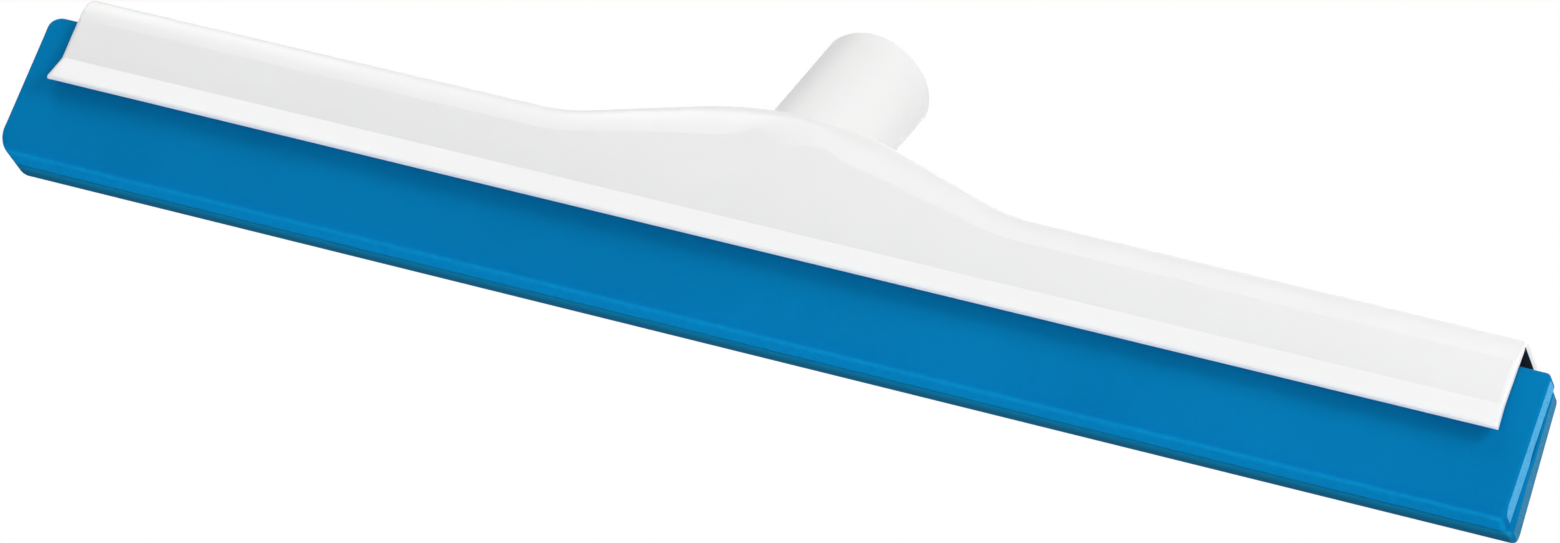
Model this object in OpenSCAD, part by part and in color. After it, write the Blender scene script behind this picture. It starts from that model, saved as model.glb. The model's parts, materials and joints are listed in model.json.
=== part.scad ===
// Floor squeegee head: a moulded frame with a leaning handle socket, and a cassette of two foam blades.
// Z is up and 0 on the floor, X runs along the blade, and the socket leans back towards +Y.

/* [Foam blades] */
// Length of the two foam blades
blade_length = 450; // [300:5:600]
// Height of the foam blades
leaf_height = 43.1; // [39:0.1:50]
// Thickness of one foam blade
leaf_thickness = 7.2; // [6:0.1:9]
// Gap between the two foam blades
leaf_gap = 4.4; // [3.6:0.1:6]
// Radius of the lower corners at the blades' ends
leaf_low_corner = 4.5; // [2:0.1:8]
// Radius of the upper corners at the blades' ends
leaf_top_corner = 4; // [1:0.1:6]
// Radius of the outer lower edge, worn and rounded by the floor
leaf_edge_round = 3.4; // [0.5:0.1:4]

/* [Frame] */
// How far the foam stands out of the frame at each end
blade_overhang = 9; // [2:0.1:20]
// Height of the lip's lower edge above the floor
lip_z = 23; // [18:0.1:26]
// Height of the flared lip
lip_height = 7.4; // [4:0.1:9]
// How far the lip flares out of the wall
lip_flare = 2.2; // [0.5:0.1:4]
// How far the lip flares out past each end of the frame
lip_end_flare = 1; // [0:0.1:2]
// Thickness of the lip at its lower edge
lip_edge = 2; // [1.6:0.1:2.6]
// Radius of the lip's outer lower edge
lip_round = 0.6; // [0.2:0.1:0.8]
// Thickness of the frame's long walls
wall = 1.8; // [1.6:0.1:3.5]
// Thickness of the roof at the frame's ends
roof_wall = 2.2; // [1.8:0.1:4]
// How much higher the roof is in the middle than at the ends
roof_crown = 1.6; // [0.5:0.1:5]
// Radius of the long upper edges
roof_round = 5; // [2:0.1:6]
// Radius of the edges at the frame's ends
end_round = 1.5; // [0.5:0.1:3]
// Free height between the carrier's flange and the roof
head_room = 1.2; // [0.9:0.1:4]

/* [Hump under the socket] */
// Height of the hump above the roof
hump_rise = 15.4; // [12:0.1:20]
// Radius of the hump's crown
crown_radius = 102; // [60:1:140]
// Slope of the hump's flanks, in degrees
flank_slope = 17.4; // [14:0.1:20]
// Radius of the hollow foot on each side of the hump
foot_radius = 60; // [30:1:80]
// Radius of the hump's long upper edges
hump_round = 8; // [4:0.1:9]
// Thickness of the hump's skin over its hollow cells
hump_skin = 3.4; // [2.5:0.1:5]
// Number of hollow cells under each side of the hump
hump_cells = 3; // [1:1:4]
// Thickness of the ribs between the hollow cells
cell_rib = 2; // [1.2:0.1:4]

/* [Handle socket] */
// Lean of the socket back from upright, in degrees
socket_lean = 33; // [28:0.5:40]
// Outer diameter of the socket
socket_outer = 34; // [31:0.1:38]
// Diameter of the bore that takes the handle
socket_bore = 25; // [20:0.1:28]
// Depth of the bore
socket_depth = 45; // [30:0.5:48]
// Distance along the socket's axis from the frame's middle plane to the rim
socket_reach = 59.5; // [56:0.5:90]
// How far below the roof the socket's axis crosses the frame's middle plane
socket_drop = 5; // [2:0.1:8]
// Length of the tube below that crossing, which runs out in the buttress behind
socket_root = 14; // [10:0.5:18]
// Radius of the rim's outer edge
rim_round = 1.5; // [0.5:0.1:3]
// Width of the lead-in at the bore's mouth
bore_lead_in = 0.8; // [0.2:0.1:1.2]
// Slope of the buttress under the socket, in degrees
buttress_slope = 39; // [34:1:44]
// Height of the buttress's foot above the crease of the lip
buttress_rise = 6; // [3:0.1:10]
// Frame wall left in front of the socket's root
socket_front_wall = 3; // [2:0.1:4]

/* [Blade carrier] */
// How far the carrier stops short of the frame's ends
carrier_inset = 16.7; // [5:0.1:30]
// Thickness of the carrier's flange
flange_thickness = 1.6; // [1.2:0.1:3]
// Thickness of the web between the foam blades
web_thickness = 2.2; // [1.4:0.1:3]
// Height of the web's lower edge above the lip's lower edge
web_lift = 1.4; // [0:0.1:5]
// Number of rows of barbs on each side of the web
barb_rows = 3; // [2:1:5]
// Height of one barb
barb_height = 2.4; // [1.5:0.1:3]
// Flat crest of one barb, where the foam is bonded to it
barb_crest = 0.9; // [0.4:0.1:1.4]
// Width of the ledges in the frame that carry the flange
ledge_reach = 1.6; // [1:0.1:1.8]
// Height of those ledges
ledge_height = 1.4; // [1:0.1:2]
// How far the ledges stop short of the frame's ends
ledge_inset = 6; // [0:0.5:15]
// Thickness of the ribs under the roof that hold the flange down
hold_rib = 1.2; // [0.8:0.1:2]
// Distance of those ribs from the middle plane
hold_rib_offset = 5; // [3:0.1:6]

/* [Clearances] */
// Between the foam and the frame's walls
foam_clear = 0.35; // [0.3:0.05:1]
// Between the cassette and the ledges and ribs that guide it
slide_clear = 0.4; // [0.3:0.05:0.8]

/* [Hidden] */
$fn = 96;
white = [0.93, 0.93, 0.92];
pale_grey = [0.82, 0.83, 0.83];
foam_blue = [0.01, 0.46, 0.69];
// Overlap that lets one form run into the next
bite = 0.5;
// Length that reaches past everything when a form is trimmed
far = 300;

// Half widths, from the middle plane outwards
half_gap = leaf_gap / 2;
half_stack = half_gap + leaf_thickness;
channel_half = half_stack + foam_clear;
wall_half = channel_half + wall;
lip_half = wall_half + lip_flare;

// Heights, from the floor upwards
crease_z = lip_z + lip_height;
ledge_low = leaf_height + slide_clear;
flange_low = ledge_low + ledge_height + slide_clear;
flange_top = flange_low + flange_thickness;
hold_rib_low = flange_top + slide_clear;
ceiling_z = flange_top + head_room;
roof_end_z = ceiling_z + roof_wall;
roof_mid_z = roof_end_z + roof_crown;
hump_z = roof_mid_z + hump_rise;

// Lengths
frame_length = blade_length - 2 * blade_overhang;
frame_half = frame_length / 2;
carrier_length = frame_length - 2 * carrier_inset;
guide_half = frame_half - ledge_inset;

// Outline of the hump: a crown, a straight flank and a hollow foot that meets the roof
foot_sink = 0.9;
foot_z = roof_mid_z - foot_sink;
arc_fall = (crown_radius + foot_radius) * (1 - cos(flank_slope));
flank_run = (hump_z - foot_z - arc_fall) / tan(flank_slope);
flank_x = crown_radius * sin(flank_slope);
flank_z = hump_z - crown_radius * (1 - cos(flank_slope));
foot_run = foot_radius * sin(flank_slope);
foot_x = flank_x + flank_run + foot_run;
// Steps in the lofted outside: along half the hump, and round its long upper edges
hump_steps = 14;
edge_steps = 12;

// Socket
socket_radius = socket_outer / 2;
cross_z = roof_mid_z - socket_drop;
buttress_z = crease_z + buttress_rise;

// Hollow cells beside the socket's root
cell_first_x = socket_radius + hump_skin;
cell_last_x = flank_x + flank_run - hump_skin;
cell_step = (cell_last_x - cell_first_x + cell_rib) / hump_cells;
cell_half_width = wall_half - hump_skin - bite;

// Solid of a flat outline in the YZ plane, drawn along X
module along_x(length, centred = true)
    rotate([90, 0, 90])
        linear_extrude(length, center = centred)
            children();

// Solid of a flat outline in the XZ plane, drawn along Y
module along_y(width)
    rotate([90, 0, 0])
        linear_extrude(width, center = true)
            children();

module both_ends() {
    children();
    mirror([1, 0, 0]) children();
}

module both_sides() {
    children();
    mirror([0, 1, 0]) children();
}

// Height of the roof's ridge over a place along the frame
function roof_top(x) = roof_mid_z - x * roof_crown / frame_half;

// Height of the hump's outline: its crown, its flank, then its foot
function hump_top(x) =
    x < flank_x ? hump_z - crown_radius + sqrt(crown_radius * crown_radius - x * x)
    : x < foot_x - foot_run ? flank_z - (x - flank_x) * tan(flank_slope)
    : x < foot_x ? foot_z + foot_radius - sqrt(foot_radius * foot_radius - pow(foot_x - x, 2))
    : foot_z;

function outline_top(x) = max(roof_top(x), hump_top(x));

// The long upper edges grow rounder from the foot of the hump to its crown
function edge_round(x) =
    roof_round + (hump_round - roof_round) * pow(cos(min(90, 90 * x / foot_x)), 2);

// Section of the frame's outside, drawn in by the rounding of its ends
function outside_section(x, draw_in) =
    let (
        half = wall_half - draw_in,
        lip = lip_half - draw_in,
        top = outline_top(abs(x)) - draw_in,
        r = edge_round(abs(x)) - draw_in,
        arc = [for (i = [0 : edge_steps]) 90 * i / edge_steps],
        front = concat(
            [for (a = [0 : 45 : 90]) [lip_round * (1 - sin(a)) - lip, lip_z + lip_round * (1 - cos(a))]],
            [[-half, crease_z]],
            [for (a = arc) [r - half - r * cos(a), top - r + r * sin(a)]]
        ),
        count = len(front)
    )
    concat(front, [for (i = [1 : count]) [-front[count - i][0], front[count - i][1]]]);

// Place along the frame, pushed out towards the ends where the lip flares
function flared(x, z) = x * (1 + lip_end_flare / frame_half * max(0, crease_z - z) / lip_height);

// Places along one half of the frame, from the end to the middle, each with its draw-in
half_stations = concat(
    [for (a = [0 : 30 : 90]) [frame_half - end_round * (1 - cos(a)), end_round * (1 - sin(a))]],
    [for (i = [0 : hump_steps]) [foot_x * (1 - i / hump_steps), 0]]
);
last_station = len(half_stations) - 1;
stations = concat(
    [for (s = half_stations) [-s[0], s[1]]],
    [for (i = [1 : last_station]) half_stations[last_station - i]]
);

// Outside of the frame, lofted from one end to the other
module outside() {
    rings = [for (s = stations) outside_section(s[0], s[1])];
    n = len(rings[0]);
    m = len(rings);
    points = [for (i = [0 : m - 1], p = rings[i]) [flared(stations[i][0], p[1]), p[0], p[1]]];
    skin = [
        for (i = [0 : m - 2], j = [0 : n - 1])
            let (k = (j + 1) % n)
                [i * n + j, i * n + k, (i + 1) * n + k, (i + 1) * n + j]
    ];
    near_cap = [for (j = [0 : n / 2 - 2]) [n - 1 - j, n - 2 - j, j + 1, j]];
    far_end = (m - 1) * n;
    far_cap = [for (face = near_cap) [for (i = [3 : -1 : 0]) far_end + face[i]]];
    polyhedron(points, concat(skin, near_cap, far_cap), convexity = 6);
}

// Space for the cassette, open at both ends and below, and widening between the lips
module channel() {
    lip_inside = lip_half - lip_edge;
    along_x(far + frame_length)
        polygon([
            [channel_half, ceiling_z],
            [channel_half, crease_z],
            [lip_inside, lip_z],
            [lip_inside, 0],
            [-lip_inside, 0],
            [-lip_inside, lip_z],
            [-channel_half, crease_z],
            [-channel_half, ceiling_z]
        ]);
}

// Ledges on the walls and ribs under the roof, which guide the carrier's flange
module guides() {
    both_sides()
        along_x(2 * guide_half)
            translate([channel_half - ledge_reach, ledge_low])
                square([ledge_reach + bite, ledge_height]);
    both_sides()
        both_ends()
            translate([foot_x, 0, 0])
                along_x(guide_half - foot_x, false)
                    translate([hold_rib_offset - hold_rib / 2, hold_rib_low])
                        square([hold_rib, ceiling_z + bite - hold_rib_low]);
}

// Hollow cells that open into the channel
module cells() {
    both_ends()
        for (i = [0 : hump_cells - 1]) {
            x0 = cell_first_x + i * cell_step;
            x1 = x0 + cell_step - cell_rib;
            along_y(2 * cell_half_width)
                polygon([
                    [x0, ceiling_z - bite],
                    [x1, ceiling_z - bite],
                    [x1, hump_top(x1) - hump_skin],
                    [x0, hump_top(x0) - hump_skin]
                ]);
        }
}

module frame() {
    color(white) {
        difference() {
            outside();
            channel();
            cells();
            socket_body();
        }
        guides();
    }
}

// Places its children on the socket's axis, with Z along the axis and 0 in the frame's middle plane
module on_socket_axis() {
    translate([0, 0, cross_z])
        rotate([-socket_lean, 0, 0])
            children();
}

// Outside of the socket: a tube with a rounded rim
module socket_tube() {
    on_socket_axis()
        rotate_extrude() {
            translate([0, -socket_root])
                square([socket_radius, socket_root + socket_reach - rim_round]);
            square([socket_radius - rim_round, socket_reach]);
            translate([socket_radius - rim_round, socket_reach - rim_round])
                circle(rim_round);
        }
}

// Room that the socket's root may take: above its seat in the hump, and above the buttress behind it
module root_room() {
    half = socket_radius + bite;
    front = wall_half - socket_front_wall;
    translate([-half, -front, roof_end_z])
        cube([2 * half, front + wall_half, far]);
    difference() {
        translate([-half, wall_half, 0])
            cube([2 * half, far, far]);
        translate([0, wall_half, buttress_z])
            rotate([buttress_slope, 0, 0])
                translate([-far / 2, -far / 2, -far])
                    cube(far);
    }
}

module socket_body() {
    intersection() {
        socket_tube();
        root_room();
    }
}

module handle_socket() {
    color(white)
        difference() {
            socket_body();
            on_socket_axis()
                translate([0, 0, socket_reach - socket_depth])
                    cylinder(d = socket_bore, h = socket_depth + bite);
            on_socket_axis()
                translate([0, 0, socket_reach - bore_lead_in])
                    cylinder(
                        r1 = socket_bore / 2,
                        r2 = socket_bore / 2 + 2 * bore_lead_in,
                        h = 2 * bore_lead_in
                    );
        }
}

// Barbs on one side of the web, each with a flat crest against the foam
module barbs() {
    web_low = lip_z + web_lift;
    pitch = (leaf_height - web_low) / barb_rows;
    for (i = [0 : barb_rows - 1])
        translate([0, web_low + i * pitch])
            polygon([
                [0, 0],
                [half_gap, 0],
                [half_gap, barb_crest],
                [web_thickness / 2, barb_height],
                [0, barb_height]
            ]);
}

module blade_carrier() {
    web_low = lip_z + web_lift;
    color(pale_grey)
        along_x(carrier_length) {
            translate([-half_stack, flange_low])
                square([2 * half_stack, flange_thickness]);
            translate([-web_thickness / 2, web_low])
                square([web_thickness, flange_top - web_low]);
            barbs();
            mirror([1, 0]) barbs();
        }
}

// Outline of a foam blade seen from the front
module leaf_outline() {
    half = blade_length / 2;
    translate([leaf_low_corner - half, 0])
        square([2 * (half - leaf_low_corner), leaf_height / 2]);
    translate([leaf_top_corner - half, leaf_height / 2])
        square([2 * (half - leaf_top_corner), leaf_height / 2]);
    translate([-half, leaf_low_corner])
        square([2 * half, leaf_height - leaf_low_corner - leaf_top_corner]);
    for (side = [-1, 1]) {
        translate([side * (half - leaf_low_corner), leaf_low_corner])
            circle(leaf_low_corner);
        translate([side * (half - leaf_top_corner), leaf_height - leaf_top_corner])
            circle(leaf_top_corner);
    }
}

// Section of the rear foam blade, with its worn lower edge
module leaf_section() {
    polygon([
        [half_gap, 0],
        [half_stack - leaf_edge_round, 0],
        [half_stack, leaf_edge_round],
        [half_stack, leaf_height],
        [half_gap, leaf_height]
    ]);
    translate([half_stack - leaf_edge_round, leaf_edge_round])
        circle(leaf_edge_round);
}

module leaf() {
    color(foam_blue)
        intersection() {
            along_x(blade_length)
                leaf_section();
            along_y(far)
                leaf_outline();
        }
}

module rear_blade() {
    leaf();
}

module front_blade() {
    mirror([0, 1, 0])
        leaf();
}

frame();
handle_socket();
blade_carrier();
front_blade();
rear_blade();
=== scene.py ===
"""Looks of a floor squeegee head: moulded white frame and socket, twin blue foam blades, pale stage."""

import json
import math

import bmesh
import bpy
from mathutils import Matrix, Vector, noise


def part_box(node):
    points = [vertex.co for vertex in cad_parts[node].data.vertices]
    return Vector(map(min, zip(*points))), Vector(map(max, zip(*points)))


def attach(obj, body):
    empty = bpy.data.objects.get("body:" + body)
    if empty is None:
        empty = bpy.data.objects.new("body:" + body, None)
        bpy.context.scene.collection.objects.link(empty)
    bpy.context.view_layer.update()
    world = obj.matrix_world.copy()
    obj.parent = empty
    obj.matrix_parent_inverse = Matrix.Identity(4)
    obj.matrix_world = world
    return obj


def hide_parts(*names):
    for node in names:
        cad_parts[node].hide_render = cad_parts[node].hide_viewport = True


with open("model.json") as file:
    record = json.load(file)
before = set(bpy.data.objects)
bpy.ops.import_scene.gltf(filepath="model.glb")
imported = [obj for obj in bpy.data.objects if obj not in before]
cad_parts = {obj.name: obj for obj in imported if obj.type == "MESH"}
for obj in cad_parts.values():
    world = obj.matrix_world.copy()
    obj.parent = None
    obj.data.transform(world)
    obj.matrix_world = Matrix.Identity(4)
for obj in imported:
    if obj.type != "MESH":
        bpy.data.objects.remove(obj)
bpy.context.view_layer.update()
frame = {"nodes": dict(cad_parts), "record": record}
MM = 0.001

# Camera, as fitted to the edges of the object: angles, metres and pixels of the 1560 x 543 image
IMAGE_WIDTH = 1560
SENSOR_WIDTH_MM = 36.0
FOCAL_PIXELS = 7709.8
CAMERA_YAW = math.radians(22.16)
CAMERA_PITCH = math.radians(-19.51)
CAMERA_ROLL = math.radians(21.41)
CAMERA_DISTANCE = 2.1018
CAMERA_TARGET = Vector((0.007, 0.0, 0.0231))

# Each foam blade: its side of the middle plane, the seed of its unevenness, the lower and upper corner radius
# of its ends, how far its right end stands out at its foot and at its top, and its own colours: its lower
# edge's, paler with painted light from below and wear, and its cut end's pores and face; the rear blade's
# colours are darker copies, with painted shade
BLADES = {
    "front_blade": {
        "side": -1,
        "seed": 3.0,
        "left_corners": (5.0 * MM, 4.0 * MM),
        "right_corners": (2.0 * MM, 1.7 * MM),
        "slant": (0.6 * MM, 0.0),
        "worn": (0.004, 0.40, 0.70),
        "pores": (0.03, 0.30, 0.56),
        "cut_face": (0.11, 0.48, 0.84),
    },
    "rear_blade": {
        "side": 1,
        "seed": 9.0,
        "left_corners": (5.0 * MM, 4.0 * MM),
        "right_corners": (1.2 * MM, 1.0 * MM),
        "slant": (1.3 * MM, -1.3 * MM),
        # painted shade: the rear blade's lower edge and cut end are darker copies of the front blade's
        # colours
        "worn": (0.012, 0.335, 0.53),
        "pores": (0.014, 0.165, 0.32),
        "cut_face": (0.056, 0.265, 0.46),
    },
}

# Rounding of the blades' edges, and the length over which the slant of a right end is taken up
OUTER_EDGE_ROUND = 3.4 * MM
TOP_EDGE_ROUND = 1.2 * MM
TOP_INNER_ROUND = 0.5 * MM
LOW_INNER_ROUND = 0.6 * MM
CUT_EDGE_ROUND = 0.8 * MM
GROOVE_ROUND = 1.9 * MM
SLANT_REACH = 20.0 * MM

# The blades stand apart at the carrier's web and lean together below it
HALF_SLIT = 0.12 * MM
WEB_CLEARANCE = 1.0 * MM
LEAN_HEIGHT = 6.0 * MM

# Slight unevenness of the foam
WAVE_HEIGHT = 0.12 * MM
WAVE_LENGTH = 60.0 * MM
WAVE_LAYER = 0.5

# Fineness of the blades' meshes: along the length, towards the ends and round each part of the section
STATION_STEP = 4.0 * MM
END_REACH = 6.0 * MM
END_TURN_STEP = 6
QUARTER_TURN = 90
SECTION_STEPS = {
    "low_inner": 6,
    "floor": 4,
    "low_outer": 10,
    "outside": 14,
    "top_outer": 6,
    "top": 4,
    "top_inner": 4,
    "inside": 6,
    "lean": 8,
    "slit": 5,
}

# The frame's top edge, drawn down the wall into a broad bevel: its lengths are shares of the edge's radius
BEVEL_DROP = 0.6
BEVEL_TURN_IN = 0.306
BEVEL_TURN_DOWN = 0.15
BEVEL_REACH = math.radians(75)
BEVEL_CROWDING = 1.6

# Finding that edge on the solid, and how the bevel dies out round the socket's root
UPPER_WALL = 40.0 * MM
LEAST_HALF_WIDTH = 9.9 * MM
ON_EDGE = 0.06 * MM
ROOT_FADE = 7.0 * MM
ROOT_BEHIND = 2.0 * MM

# Smooth shading of the moulded pieces
WELD = 0.005 * MM
SHARP_ANGLE = math.radians(10)
NORMAL_WEIGHT = 100

# Noise in the materials: scales are per metre, and most of its values lie between these two
NOISE_LOW = 0.3
NOISE_HIGH = 0.7

# White plastic
WHITE_TINTS = ((0.851, 0.849, 0.845), (0.868, 0.867, 0.864))
WHITE_TINT_NOISE = {"scale": 16.0}
WHITE_GLOSS_NOISE = {"scale": 70.0}
WHITE_ROUGHNESS = (0.30, 0.35)
FLOW_NOISE = {"scale": 55.0, "detail": 1.0}
FLOW_RELIEF = {"depth": 0.03 * MM, "strength": 0.5}
GRAIN_NOISE = {"scale": 1900.0, "detail": 2.0}
GRAIN_RELIEF = {"depth": 0.02 * MM, "strength": 0.6}
WHITE_IOR = 1.49
WHITE_SPECULAR = 0.35
SUBSURFACE_SHARE = 0.12
SUBSURFACE_RADII = (1.0, 1.0, 0.95)
SUBSURFACE_SCALE = 1.6 * MM

# Inside of the frame's channel, darkened with painted shade
CHANNEL_HALF = 9.8 * MM
CHANNEL_TOP = 48.2 * MM
CHANNEL_PAINTED_SHADE = (0.05, 0.05, 0.055, 1.0)

# Plastic of the carrier, with draw lines along its length
CARRIER_TINTS = ((0.55, 0.56, 0.56), (0.62, 0.63, 0.63))
CARRIER_GLOSS_NOISE = {"scale": 120.0}
CARRIER_ROUGHNESS = (0.45, 0.6)
DRAW_STRETCH = (6.0, 900.0, 900.0)
DRAW_NOISE = {"scale": 1.0, "detail": 2.0}
DRAW_RELIEF = {"depth": 0.05 * MM, "strength": 0.5}

# Moulded skin of the foam
FOAM_TINTS = ((0.0004, 0.178, 0.425), (0.0012, 0.218, 0.50))
FOAM_BROAD_NOISE = {"scale": 22.0, "detail": 2.0}
FOAM_FINE_NOISE = {"scale": 420.0, "detail": 4.0, "roughness": 0.6}
FOAM_BROAD_SHARE = 0.45
FOAM_FINE_SHARE = 0.55
FOAM_ROUGHNESS = (0.72, 0.92)
FOAM_SPECULAR = 0.02
FOAM_SKIN_NOISE = {"scale": 240.0}
FOAM_SKIN_RELIEF = {"depth": 0.08 * MM, "strength": 0.4}
FOAM_CELL_SCALE = 1900.0
FOAM_CELL_RELIEF = {"depth": 0.05 * MM, "strength": 0.35}

# Wear and painted light from below on the blades' lower edge, by height, and painted shade on it towards the
# back
WORN_AND_LIT_BELOW = 0.0
PLAIN_ABOVE = 1.0 * MM
WEAR_PATCHES = (0.7, 1.0)
PAINTED_SHADE_FOAM = (0.02, 0.20, 0.33)
SHADE_FROM = 1.0 * MM
SHADE_TO = 4.5 * MM

# Cut ends of the foam
PORE_SCALE = 1150.0
PORE_EDGES = (0.08, 0.42)
PORE_RELIEF = {"depth": 0.15 * MM, "strength": 0.5}
CUT_NOISE = {"scale": 300.0}
CUT_SHADES = (0.75, 1.0)
CUT_ROUGHNESS = (0.85, 1.0)
CUT_SPECULAR = 0.04

# Stage
FLOOR_HALF = 4.0
FLOOR_DROP = 0.2 * MM
FLOOR_TINTS = ((0.86, 0.86, 0.86), (0.90, 0.90, 0.90))
FLOOR_NOISE = {"scale": 3.0}
FLOOR_GLOW = 0.5
WHITE = (1.0, 1.0, 1.0, 1.0)
WORLD_LIGHT = 0.02

# Lamps: place, size and power of each soft box; the low ones have a grid, and its spread is in degrees
OPEN_SPREAD = 180
LAMP_AIM = Vector((0.0, 0.0, 0.03))
LAMPS = {
    "box_left": {"place": (-0.5, -1.0, 1.3), "size": 0.8, "watts": 4.3},
    "box_right": {"place": (1.4, -0.9, 1.0), "size": 0.8, "watts": 17.0},
    "low_right": {"place": (1.3, -0.6, 0.32), "size": 0.6, "watts": 0.54, "spread": 90},
    "near_left": {"place": (-0.8, -0.4, 1.1), "size": 0.6, "watts": 5.7},
    "near_right": {"place": (0.8, -0.3, 0.9), "size": 0.5, "watts": 1.8},
    "back_above": {"place": (0.2, 0.8, 1.2), "size": 0.8, "watts": 5.0},
    "low_back": {"place": (-0.5, 1.3, 0.42), "size": 0.8, "watts": 2.2, "spread": 90},
    "below": {"place": (0.0, -0.4, -1.2), "size": 0.8, "watts": 7.0},
}


# Node helpers
def fill_input(tree, socket, value):
    """Links an input to another node's output, or sets it to a value."""
    if isinstance(value, bpy.types.NodeSocket):
        tree.links.new(value, socket)
    else:
        socket.default_value = value


def add_node(tree, kind, settings=None, **inputs):
    """A node with its settings and its inputs, which are named with _ for each space."""
    made = tree.nodes.new(kind)
    for name, value in (settings or {}).items():
        setattr(made, name, value)
    for name, value in inputs.items():
        fill_input(tree, made.inputs[name.replace("_", " ")], value)
    return made


def calculate(tree, operation, *values):
    """The result of an operation on numbers or on other nodes' outputs."""
    made = add_node(tree, "ShaderNodeMath", {"operation": operation})
    for value, socket in zip(values, made.inputs):
        fill_input(tree, socket, value)
    return made.outputs["Value"]


def noise_value(tree, place, scale, detail=3.0, roughness=0.5):
    made = add_node(
        tree,
        "ShaderNodeTexNoise",
        Vector=place,
        Scale=scale,
        Detail=detail,
        Roughness=roughness,
    )
    return made.outputs["Fac"]


def cell_distance(tree, place, scale):
    return add_node(tree, "ShaderNodeTexVoronoi", Vector=place, Scale=scale).outputs["Distance"]


def spread(tree, value, low, high, from_low=NOISE_LOW, from_high=NOISE_HIGH):
    """A value moved into the range from low to high."""
    made = add_node(
        tree,
        "ShaderNodeMapRange",
        Value=value,
        From_Min=from_low,
        From_Max=from_high,
        To_Min=low,
        To_Max=high,
    )
    return made.outputs["Result"]


def blend_colours(tree, factor, first, second):
    """A colour between two fixed ones."""
    ramp = add_node(tree, "ShaderNodeValToRGB", Fac=factor)
    ramp.color_ramp.elements[0].color = (*first, 1.0)
    ramp.color_ramp.elements[1].color = (*second, 1.0)
    return ramp.outputs["Color"]


def mix_colours(tree, factor, first, second):
    """A colour between two, each of them fixed or another node's output."""
    mixed = add_node(tree, "ShaderNodeMix", {"data_type": "RGBA"}, Factor=factor, A=first, B=second)
    return mixed.outputs["Result"]


def mix_shaders(tree, factor, first, second):
    mixed = tree.nodes.new("ShaderNodeMixShader")
    for value, socket in zip((factor, first, second), mixed.inputs):
        fill_input(tree, socket, value)
    return mixed.outputs["Shader"]


def bump(tree, height, depth, strength, under=None):
    """A relief of the given depth, on top of another one where there is one."""
    made = add_node(tree, "ShaderNodeBump", Height=height, Distance=depth, Strength=strength)
    if under is not None:
        tree.links.new(under, made.inputs["Normal"])
    return made.outputs["Normal"]


def new_material(name):
    """A material with an empty node tree, its output and the object's own coordinates."""
    material = bpy.data.materials.new(name)
    material.use_nodes = True
    tree = material.node_tree
    tree.nodes.clear()
    output = tree.nodes.new("ShaderNodeOutputMaterial")
    place = tree.nodes.new("ShaderNodeTexCoord").outputs["Object"]
    return material, tree, output, place


def cover(tree, output, **inputs):
    """Gives a material its surface, a principled shader with these inputs."""
    shader = add_node(tree, "ShaderNodeBsdfPrincipled", **inputs)
    tree.links.new(shader.outputs["BSDF"], output.inputs["Surface"])


# Materials
def channel_painted_shade(tree, place, unshaded):
    """The unshaded colour, with painted shade on the inside of the frame's channel."""
    parts = add_node(tree, "ShaderNodeSeparateXYZ", Vector=place)
    across = calculate(tree, "ABSOLUTE", parts.outputs["Y"])
    between_walls = calculate(tree, "LESS_THAN", across, CHANNEL_HALF)
    below_roof = calculate(tree, "LESS_THAN", parts.outputs["Z"], CHANNEL_TOP)
    inside = calculate(tree, "MULTIPLY", between_walls, below_roof)
    return mix_colours(tree, inside, unshaded, CHANNEL_PAINTED_SHADE)


def white_plastic():
    """Satin polypropylene: a little translucent, with a fine spark-eroded grain."""
    material, tree, output, place = new_material("white_plastic")
    tint = spread(tree, noise_value(tree, place, **WHITE_TINT_NOISE), 0.0, 1.0)
    unshaded = blend_colours(tree, tint, *WHITE_TINTS)
    flow = bump(tree, noise_value(tree, place, **FLOW_NOISE), **FLOW_RELIEF)
    cover(
        tree,
        output,
        # painted shade inside the frame's channel
        Base_Color=channel_painted_shade(tree, place, unshaded),
        Roughness=spread(tree, noise_value(tree, place, **WHITE_GLOSS_NOISE), *WHITE_ROUGHNESS),
        Normal=bump(tree, noise_value(tree, place, **GRAIN_NOISE), **GRAIN_RELIEF, under=flow),
        IOR=WHITE_IOR,
        Specular_IOR_Level=WHITE_SPECULAR,
        Subsurface_Weight=SUBSURFACE_SHARE,
        Subsurface_Radius=SUBSURFACE_RADII,
        Subsurface_Scale=SUBSURFACE_SCALE,
    )
    return material


def carrier_plastic():
    """Pale extruded plastic with faint draw lines along its length."""
    material, tree, output, place = new_material("carrier_plastic")
    drawn = add_node(tree, "ShaderNodeMapping", Vector=place, Scale=DRAW_STRETCH).outputs["Vector"]
    lines = noise_value(tree, drawn, **DRAW_NOISE)
    cover(
        tree,
        output,
        Base_Color=blend_colours(tree, spread(tree, lines, 0.0, 1.0), *CARRIER_TINTS),
        Roughness=spread(tree, noise_value(tree, place, **CARRIER_GLOSS_NOISE), *CARRIER_ROUGHNESS),
        Normal=bump(tree, lines, **DRAW_RELIEF),
    )
    return material


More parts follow.
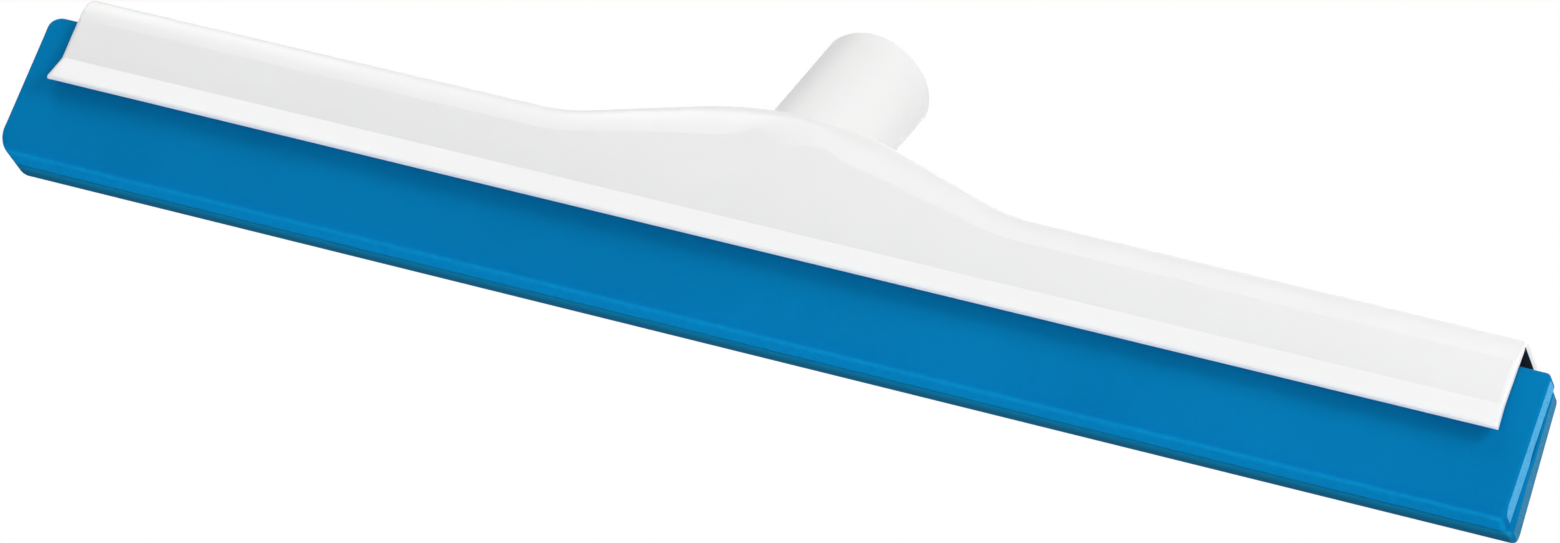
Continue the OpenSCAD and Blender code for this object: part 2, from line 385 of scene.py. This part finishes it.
def foam_skin(name, worn):
    """Closed-cell foam under its moulded skin: matt, with fine cells, a soft mottle, and a lower edge paler
    with wear and painted light from below and darker towards the back with painted shade.
    """
    material, tree, output, place = new_material(name)
    broad = noise_value(tree, place, **FOAM_BROAD_NOISE)
    fine = noise_value(tree, place, **FOAM_FINE_NOISE)
    patches = spread(tree, broad, 0.0, FOAM_BROAD_SHARE)
    mottle = calculate(tree, "MULTIPLY_ADD", fine, FOAM_FINE_SHARE, patches)
    base_foam = blend_colours(tree, mottle, *FOAM_TINTS)
    parts = add_node(tree, "ShaderNodeSeparateXYZ", Vector=place)
    # painted shade: darker towards the back of the rear blade's lower edge
    back_shade = spread(tree, parts.outputs["Y"], 0.0, 1.0, SHADE_FROM, SHADE_TO)
    # painted light from below, with wear: the lower edge is paler by height
    at_edge = spread(tree, parts.outputs["Z"], 1.0, 0.0, WORN_AND_LIT_BELOW, PLAIN_ABOVE)
    wear_and_light = calculate(tree, "MULTIPLY", at_edge, spread(tree, fine, *WEAR_PATCHES))
    skin = bump(tree, noise_value(tree, place, **FOAM_SKIN_NOISE), **FOAM_SKIN_RELIEF)
    cells = cell_distance(tree, place, FOAM_CELL_SCALE)
    cover(
        tree,
        output,
        Base_Color=mix_colours(tree, wear_and_light, base_foam, blend_colours(tree, back_shade, worn, PAINTED_SHADE_FOAM)),
        Roughness=spread(tree, fine, *FOAM_ROUGHNESS),
        Normal=bump(tree, cells, **FOAM_CELL_RELIEF, under=skin),
        Specular_IOR_Level=FOAM_SPECULAR,
    )
    return material


def foam_cut(name, pores, face):
    """Sawn end of the foam: paler than the skin, with open pores."""
    material, tree, output, place = new_material(name)
    open_pores = spread(tree, cell_distance(tree, place, PORE_SCALE), 0.0, 1.0, *PORE_EDGES)
    mottle = noise_value(tree, place, **CUT_NOISE)
    shade = calculate(tree, "MULTIPLY", open_pores, spread(tree, mottle, *CUT_SHADES))
    cover(
        tree,
        output,
        Base_Color=blend_colours(tree, shade, pores, face),
        Roughness=spread(tree, mottle, *CUT_ROUGHNESS),
        Normal=bump(tree, open_pores, **PORE_RELIEF),
        Specular_IOR_Level=CUT_SPECULAR,
    )
    return material


# Pieces
def add_piece(name, made):
    """An object in the scene with the mesh that has been made."""
    mesh = bpy.data.meshes.new(name)
    made.to_mesh(mesh)
    made.free()
    piece = bpy.data.objects.new(name, mesh)
    bpy.context.scene.collection.objects.link(piece)
    return piece


# Foam blades
def arc(centre, radius, start, end, steps):
    """Points on an arc in a flat section, from one angle to another, in degrees."""
    angles = [math.radians(start + (end - start) * i / steps) for i in range(steps + 1)]
    return [(centre[0] + radius * math.cos(a), centre[1] + radius * math.sin(a)) for a in angles]


def straight(first, last, steps):
    """Points between two others, without them."""
    shares = [i / steps for i in range(1, steps)]
    return [(first[0] + (last[0] - first[0]) * s, first[1] + (last[1] - first[1]) * s) for s in shares]


def inner_face(z, inner, shoulder):
    """Distance of a blade's inner face from the middle plane, and its share of the way apart, from 0 to 1."""
    share = min(max((z - shoulder + LEAN_HEIGHT) / LEAN_HEIGHT, 0.0), 1.0)
    apart = share * share * (3 - 2 * share)
    return HALF_SLIT + (inner - HALF_SLIT) * apart, apart


def blade_section(inner, outer, height, shoulder):
    """Closed section of one blade, from its inner lower edge round by the floor, the outside and the top."""
    steps = SECTION_STEPS
    low, top, inside, slit = OUTER_EDGE_ROUND, TOP_EDGE_ROUND, TOP_INNER_ROUND, LOW_INNER_ROUND
    low_inner = arc((HALF_SLIT + slit, slit), slit, 180, 270, steps["low_inner"])
    low_outer = arc((outer - low, low), low, 270, 360, steps["low_outer"])
    top_outer = arc((outer - top, height - top), top, 0, 90, steps["top_outer"])
    top_inner = arc((inner + inside, height - inside), inside, 90, 180, steps["top_inner"])
    leaning = [shoulder - LEAN_HEIGHT * i / steps["lean"] for i in range(steps["lean"] + 1)]
    lean = [(inner_face(z, inner, shoulder)[0], z) for z in leaning]
    return (
        low_inner
        + straight(low_inner[-1], low_outer[0], steps["floor"])
        + low_outer
        + straight(low_outer[-1], top_outer[0], steps["outside"])
        + top_outer
        + straight(top_outer[-1], top_inner[0], steps["top"])
        + top_inner
        + straight(top_inner[-1], lean[0], steps["inside"])
        + lean
        + straight(lean[-1], low_inner[0], steps["slit"])
    )


def corner_rise(distance, radius):
    """How far a round corner has drawn in at a distance from the end."""
    if distance >= radius:
        return 0.0
    return radius - math.sqrt(radius * radius - (radius - distance) ** 2)


def blade_stations(half):
    """Distances along the blade from one end to the other, close together where the corners turn."""
    turns = range(0, QUARTER_TURN + 1, END_TURN_STEP)
    near = [END_REACH * (1 - math.cos(math.radians(turn))) for turn in turns]
    count = round(2 * (half - END_REACH) / STATION_STEP)
    middle = [END_REACH + 2 * (half - END_REACH) * i / count for i in range(1, count)]
    return near + middle + [2 * half - d for d in reversed(near)]


def wave(x, seed):
    """Slight unevenness of cut and handled foam along the blade."""
    return WAVE_HEIGHT * noise.noise(Vector((x / WAVE_LENGTH, seed, WAVE_LAYER)))


def blade_sizes(node):
    """Inner and outer face, height, half length and shoulder of a blade, from its solid and the carrier's."""
    low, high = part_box(node)
    inner, outer = sorted((abs(low.y), abs(high.y)))
    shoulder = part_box("blade_carrier")[0].z - WEB_CLEARANCE
    return inner, outer, high.z - low.z, (high.x - low.x) / 2, shoulder


def blade_ring(along, blade, section, sizes):
    """The section's points at a distance along the blade, drawn in and slanted near the ends."""
    inner, outer, height, half, shoulder = sizes
    distance = min(along, 2 * half - along)
    low_corner, top_corner = blade["left_corners" if along < half else "right_corners"]
    rise = corner_rise(distance, low_corner)
    fall = corner_rise(distance, top_corner)
    cut_in = corner_rise(distance, CUT_EDGE_ROUND)
    groove_in = corner_rise(distance, GROOVE_ROUND)
    foot_out, top_out = blade["slant"]
    x = along - half
    slant = max(0.0, 1 - (half - x) / SLANT_REACH)
    ring = []
    for y, z in section:
        share = z / height
        slanted_x = x + slant * (foot_out * (1 - share) + top_out * share)
        inside, apart = inner_face(z, inner, shoulder)
        drawn_inside = inside + groove_in + (cut_in - groove_in) * apart
        moved_y = drawn_inside + (y - inside) * (outer - cut_in - drawn_inside) / (outer - inside)
        moved_z = z + rise * (1 - share) - fall * share
        if OUTER_EDGE_ROUND < z < height - TOP_EDGE_ROUND and y > (inner + outer) / 2:
            moved_y -= WAVE_HEIGHT / 2 + wave(x, blade["seed"] + z / WAVE_LENGTH) / 2
        ring.append((slanted_x, blade["side"] * moved_y, moved_z))
    return ring


def join_rings(rings):
    """A closed mesh through rings of points: smooth round them, with flat ends of the second material."""
    made = bmesh.new()
    loops = [[made.verts.new(point) for point in ring] for ring in rings]
    count = len(loops[0])
    for before, after in zip(loops, loops[1:]):
        for i in range(count):
            j = (i + 1) % count
            made.faces.new((before[i], before[j], after[j], after[i]))
    for loop in (loops[0], loops[-1]):
        end = made.faces.new(loop)
        end.material_index = 1
    bmesh.ops.recalc_face_normals(made, faces=made.faces)
    for face in made.faces:
        face.smooth = face.material_index == 0
    return made


def foam_blade(node, blade):
    """One foam blade in the place of its solid."""
    sizes = blade_sizes(node)
    inner, outer, height, half, shoulder = sizes
    section = blade_section(inner, outer, height, shoulder)
    rings = [blade_ring(along, blade, section, sizes) for along in blade_stations(half)]
    piece = add_piece(node + "_foam", join_rings(rings))
    place = node.removesuffix("_blade")
    piece.data.materials.append(foam_skin("foam_skin_" + place, blade["worn"]))
    piece.data.materials.append(foam_cut("foam_cut_" + place, blade["pores"], blade["cut_face"]))
    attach(piece, "cassette")
    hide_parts(node)


# Moulded pieces
def smoothing(name):
    """A modifier group that joins the facets of a moulded piece and shades them as one smooth skin."""
    group = bpy.data.node_groups.new(name, "GeometryNodeTree")
    group.interface.new_socket("Geometry", in_out="INPUT", socket_type="NodeSocketGeometry")
    group.interface.new_socket("Geometry", in_out="OUTPUT", socket_type="NodeSocketGeometry")
    shape = group.nodes.new("NodeGroupInput").outputs["Geometry"]
    result = group.nodes.new("NodeGroupOutput").inputs["Geometry"]
    angle = group.nodes.new("GeometryNodeInputMeshEdgeAngle").outputs["Unsigned Angle"]
    compare = {"data_type": "FLOAT", "operation": "LESS_THAN"}
    flat = add_node(group, "FunctionNodeCompare", compare, A=angle, B=SHARP_ANGLE).outputs["Result"]
    steps = (
        ("GeometryNodeRemoveAttribute", {}, {"Name": "custom_normal"}),
        ("GeometryNodeMergeByDistance", {}, {"Distance": WELD}),
        ("GeometryNodeSetShadeSmooth", {}, {}),
        ("GeometryNodeSetShadeSmooth", {"domain": "EDGE"}, {"Shade_Smooth": flat}),
    )
    for kind, settings, inputs in steps:
        shape = add_node(group, kind, settings, Geometry=shape, **inputs).outputs["Geometry"]
    group.links.new(shape, result)
    return group


def top_edges(verts):
    """Stations of the frame's round top edge, from left to right: place, half width, foot and radius."""
    rows = {}
    for vert in verts:
        if vert.co.z > UPPER_WALL and vert.co.y < 0:
            rows.setdefault(round(vert.co.x / WELD), []).append(vert.co)
    edges = []
    for row in rows.values():
        half = max(-co.y for co in row)
        if half < LEAST_HALF_WIDTH:
            continue
        foot = max(co.z for co in row if -co.y > half - WELD)
        first = min((co for co in row if co.z > foot + WELD), key=lambda co: half + co.y)
        inward, rise = half + first.y, first.z - foot
        edges.append((first.x, half, foot, (inward * inward + rise * rise) / (2 * inward)))
    return sorted(edges)


def edge_at(edges, x):
    """Half width, foot and radius of the top edge at a place between two stations, or None past the ends."""
    for before, after in zip(edges, edges[1:]):
        if before[0] <= x <= after[0]:
            share = (x - before[0]) / (after[0] - before[0])
            return [b + (a - b) * share for b, a in zip(before[1:], after[1:])]
    return None


def bevel_point(turn, radius):
    """Where a point of the round edge goes on the bevel: its distance inward and its rise from the foot."""
    share = 1 - (1 - turn / BEVEL_REACH) ** BEVEL_CROWDING
    foot = (0.0, -BEVEL_DROP)
    bend = (BEVEL_TURN_IN, 1 - BEVEL_TURN_DOWN)
    top = (1 - math.cos(BEVEL_REACH), math.sin(BEVEL_REACH))
    weights = ((1 - share) ** 2, 2 * share * (1 - share), share * share)
    return [radius * sum(w * p[i] for w, p in zip(weights, (foot, bend, top))) for i in (0, 1)]


def move_to_bevel(vert, edge, fade):
    """Moves a point of the round top edge towards the bevel by the share fade; any other point stays."""
    half, foot, radius = edge
    inward, rise = half - abs(vert.co.y), vert.co.z - foot
    off_edge = abs(math.hypot(radius - inward, rise) - radius)
    turn = math.atan2(rise, radius - inward)
    if off_edge > ON_EDGE or rise < -WELD or turn > BEVEL_REACH:
        return
    new_inward, new_rise = bevel_point(max(turn, 0.0), radius)
    inward += fade * (new_inward - inward)
    rise += fade * (new_rise - rise)
    vert.co.y = math.copysign(half - inward, vert.co.y)
    vert.co.z = foot + rise


def join_walls(made, half):
    """Makes each flat side wall one face, so that its upper edge can be moved."""
    for side in (-half, half):
        wall = [face for face in made.faces if all(abs(vert.co.y - side) < WELD for vert in face.verts)]
        bmesh.ops.dissolve_faces(made, faces=wall)


def socket_root(verts, front):
    """Points of the frame on the socket's outside, round its root, behind the front wall."""
    bore = next(mount for mount in frame["record"]["mounts"] if mount["name"] == "handle_bore")
    place, axis = Vector(bore["pos_m"]), Vector(bore["axis"])
    low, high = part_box("handle_socket")
    radius = (high.x - low.x) / 2
    upper = [vert.co.copy() for vert in verts if vert.co.z > UPPER_WALL and vert.co.y > front]
    return [co for co in upper if abs((co - place).cross(axis).length - radius) < ON_EDGE]


def bevelled_frame():
    """The frame with a broad bevel along its top edge, which dies out at the socket's root and the ends."""
    made = bmesh.new()
    made.from_mesh(frame["nodes"]["frame"].data)
    bmesh.ops.remove_doubles(made, verts=made.verts, dist=WELD)
    edges = top_edges(made.verts)
    narrowest = min(half for x, half, foot, radius in edges)
    widest = max(half for x, half, foot, radius in edges)
    root = socket_root(made.verts, ROOT_BEHIND - widest)
    join_walls(made, widest)
    for vert in made.verts:
        edge = edge_at(edges, vert.co.x)
        if edge is None:
            continue
        clear_of_root = min((vert.co - co).length for co in root) / ROOT_FADE
        fade = min(clear_of_root, 1.0) * (edge[0] - narrowest) / (widest - narrowest)
        move_to_bevel(vert, edge, fade)
    piece = add_piece("frame_moulding", made)
    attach(piece, "frame")
    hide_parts("frame")
    return piece


def dress(piece, material, group):
    """Gives a moulded piece its finish and its smooth shading."""
    piece.data.materials.clear()
    piece.data.materials.append(material)
    modifier = piece.modifiers.new("smooth_skin", "NODES")
    modifier.node_group = group
    weighted = piece.modifiers.new("even_normals", "WEIGHTED_NORMAL")
    weighted.keep_sharp = True
    weighted.weight = NORMAL_WEIGHT


# Stage
def seen_or_reflected(tree, rays):
    """1 for the rays that show a background: from the camera, off gloss and through glass."""
    seen = calculate(tree, "MAXIMUM", rays.outputs["Is Camera Ray"], rays.outputs["Is Glossy Ray"])
    return calculate(tree, "MAXIMUM", seen, rays.outputs["Is Transmission Ray"])


def floor_finish():
    """Pale from above, evened out by a glow where it is seen; open to the camera and the lamps from below."""
    material, tree, output, place = new_material("pale_floor")
    tint = spread(tree, noise_value(tree, place, **FLOOR_NOISE), 0.0, 1.0)
    colour = blend_colours(tree, tint, *FLOOR_TINTS)
    matt = add_node(tree, "ShaderNodeBsdfDiffuse", Color=colour).outputs["BSDF"]
    glow = add_node(tree, "ShaderNodeEmission", Color=colour, Strength=1.0).outputs["Emission"]
    clear = tree.nodes.new("ShaderNodeBsdfTransparent").outputs["BSDF"]
    behind = tree.nodes.new("ShaderNodeNewGeometry").outputs["Backfacing"]
    rays = tree.nodes.new("ShaderNodeLightPath")
    from_below = calculate(tree, "MULTIPLY", behind, rays.outputs["Is Camera Ray"])
    open_to = calculate(tree, "MAXIMUM", from_below, rays.outputs["Is Shadow Ray"])
    even = mix_shaders(tree, FLOOR_GLOW, matt, glow)
    floor_face = mix_shaders(tree, seen_or_reflected(tree, rays), matt, even)
    tree.links.new(mix_shaders(tree, open_to, floor_face, clear), output.inputs["Surface"])
    return material


def pale_floor():
    """A floor just under the blades, which keeps the object's shadow."""
    mesh = bpy.data.meshes.new("floor")
    corners = [(-1, -1), (1, -1), (1, 1), (-1, 1)]
    points = [(x * FLOOR_HALF, y * FLOOR_HALF, -FLOOR_DROP) for x, y in corners]
    mesh.from_pydata(points, [], [(0, 1, 2, 3)])
    mesh.materials.append(floor_finish())
    floor = bpy.data.objects.new("floor", mesh)
    bpy.context.scene.collection.objects.link(floor)


def white_world():
    """White where it is seen or reflected, and a weak fill where it lights the object."""
    world = bpy.data.worlds.new("white_world")
    bpy.context.scene.world = world
    world.use_nodes = True
    tree = world.node_tree
    tree.nodes.clear()
    output = tree.nodes.new("ShaderNodeOutputWorld")
    rays = tree.nodes.new("ShaderNodeLightPath")
    white = add_node(tree, "ShaderNodeBackground", Color=WHITE, Strength=1.0).outputs["Background"]
    fill = add_node(tree, "ShaderNodeBackground", Color=WHITE, Strength=WORLD_LIGHT).outputs["Background"]
    surface = mix_shaders(tree, seen_or_reflected(tree, rays), fill, white)
    tree.links.new(surface, output.inputs["Surface"])


def lamps():
    """Soft boxes that all aim at the middle of the head."""
    for name, lamp in LAMPS.items():
        data = bpy.data.lights.new(name, "AREA")
        data.shape = "DISK"
        data.size = lamp["size"]
        data.energy = lamp["watts"]
        data.spread = math.radians(lamp.get("spread", OPEN_SPREAD))
        light = bpy.data.objects.new(name, data)
        place = Vector(lamp["place"])
        light.location = place
        light.rotation_euler = (LAMP_AIM - place).to_track_quat("-Z", "Y").to_euler()
        bpy.context.scene.collection.objects.link(light)


def camera():
    """The camera at the photograph's angle: below the blade's edge, to its right, and rolled."""
    yaw, pitch, roll = CAMERA_YAW, CAMERA_PITCH, CAMERA_ROLL
    forward = Vector((-math.sin(yaw) * math.cos(pitch), math.cos(yaw) * math.cos(pitch), -math.sin(pitch)))
    level = Vector((math.cos(yaw), math.sin(yaw), 0.0))
    upright = level.cross(forward)
    right = math.cos(roll) * level + math.sin(roll) * upright
    up = math.cos(roll) * upright - math.sin(roll) * level
    place = CAMERA_TARGET - CAMERA_DISTANCE * forward
    data = bpy.data.cameras.new("camera")
    data.sensor_width = SENSOR_WIDTH_MM
    data.lens = FOCAL_PIXELS * SENSOR_WIDTH_MM / IMAGE_WIDTH
    made = bpy.data.objects.new("camera", data)
    turned = Matrix((right, up, -forward)).transposed().to_4x4()
    made.matrix_world = Matrix.Translation(place) @ turned
    bpy.context.scene.collection.objects.link(made)
    bpy.context.scene.camera = made


camera()
moulded_white = white_plastic()
moulded_skin = smoothing("moulded_skin")
dress(bevelled_frame(), moulded_white, moulded_skin)
dress(frame["nodes"]["handle_socket"], moulded_white, moulded_skin)
dress(frame["nodes"]["blade_carrier"], carrier_plastic(), moulded_skin)
for blade_node, blade_form in BLADES.items():
    foam_blade(blade_node, blade_form)
pale_floor()
white_world()
lamps()
bpy.context.scene.view_settings.view_transform = "Standard"
